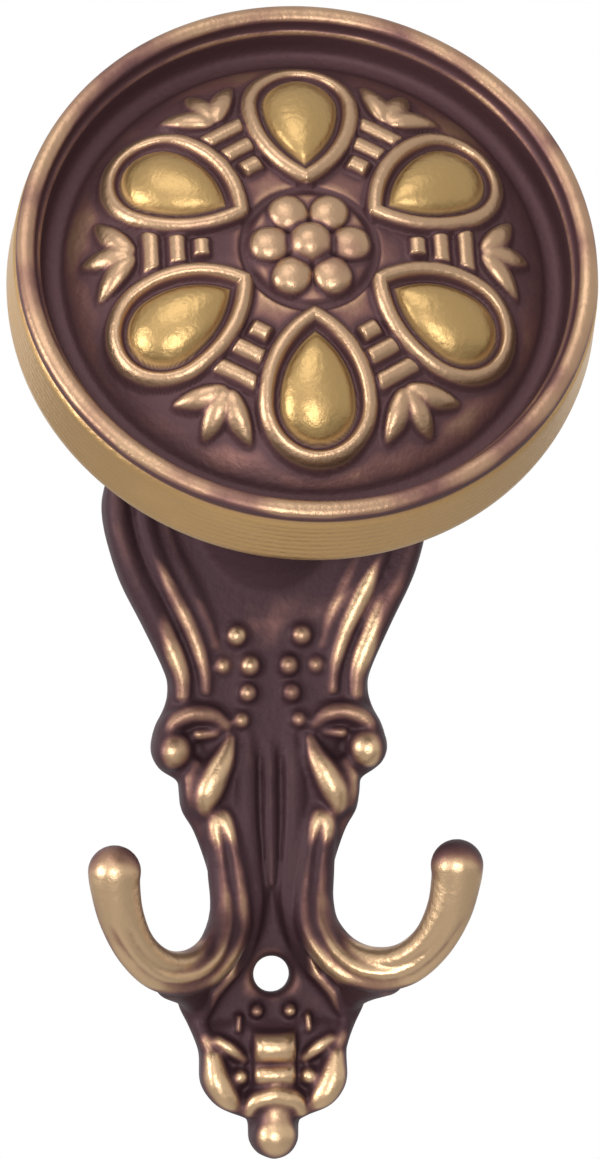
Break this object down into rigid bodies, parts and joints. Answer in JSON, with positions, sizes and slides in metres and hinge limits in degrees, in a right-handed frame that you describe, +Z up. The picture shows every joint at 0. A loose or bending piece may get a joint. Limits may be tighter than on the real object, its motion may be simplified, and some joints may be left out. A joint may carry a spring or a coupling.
{
  "type": "coat hook",
  "caption": "Cast brass wall coat hook with a round tilted rosette knob on a neck, curled side hooks and a waisted ornamental back plate.",
  "frame": {"origin": "on the wall face, half way between the two wall screws", "axes": "+Z up, +Y into the wall, +X to the right seen from the front"},
  "size_m": [0.06, 0.0609, 0.1229],
  "materials": {
    "antique_brass": "antiqued, dark in the hollows",
    "rubbed_brass": "antiqued, rubbed bright on the raised parts",
    "stud_steel": "plain"
  },
  "bodies": {
    "root": {"hook_casting": "antique_brass", "rosette_knob": "rubbed_brass", "knob_stud": "stud_steel"}
  },
  "joints": []
}
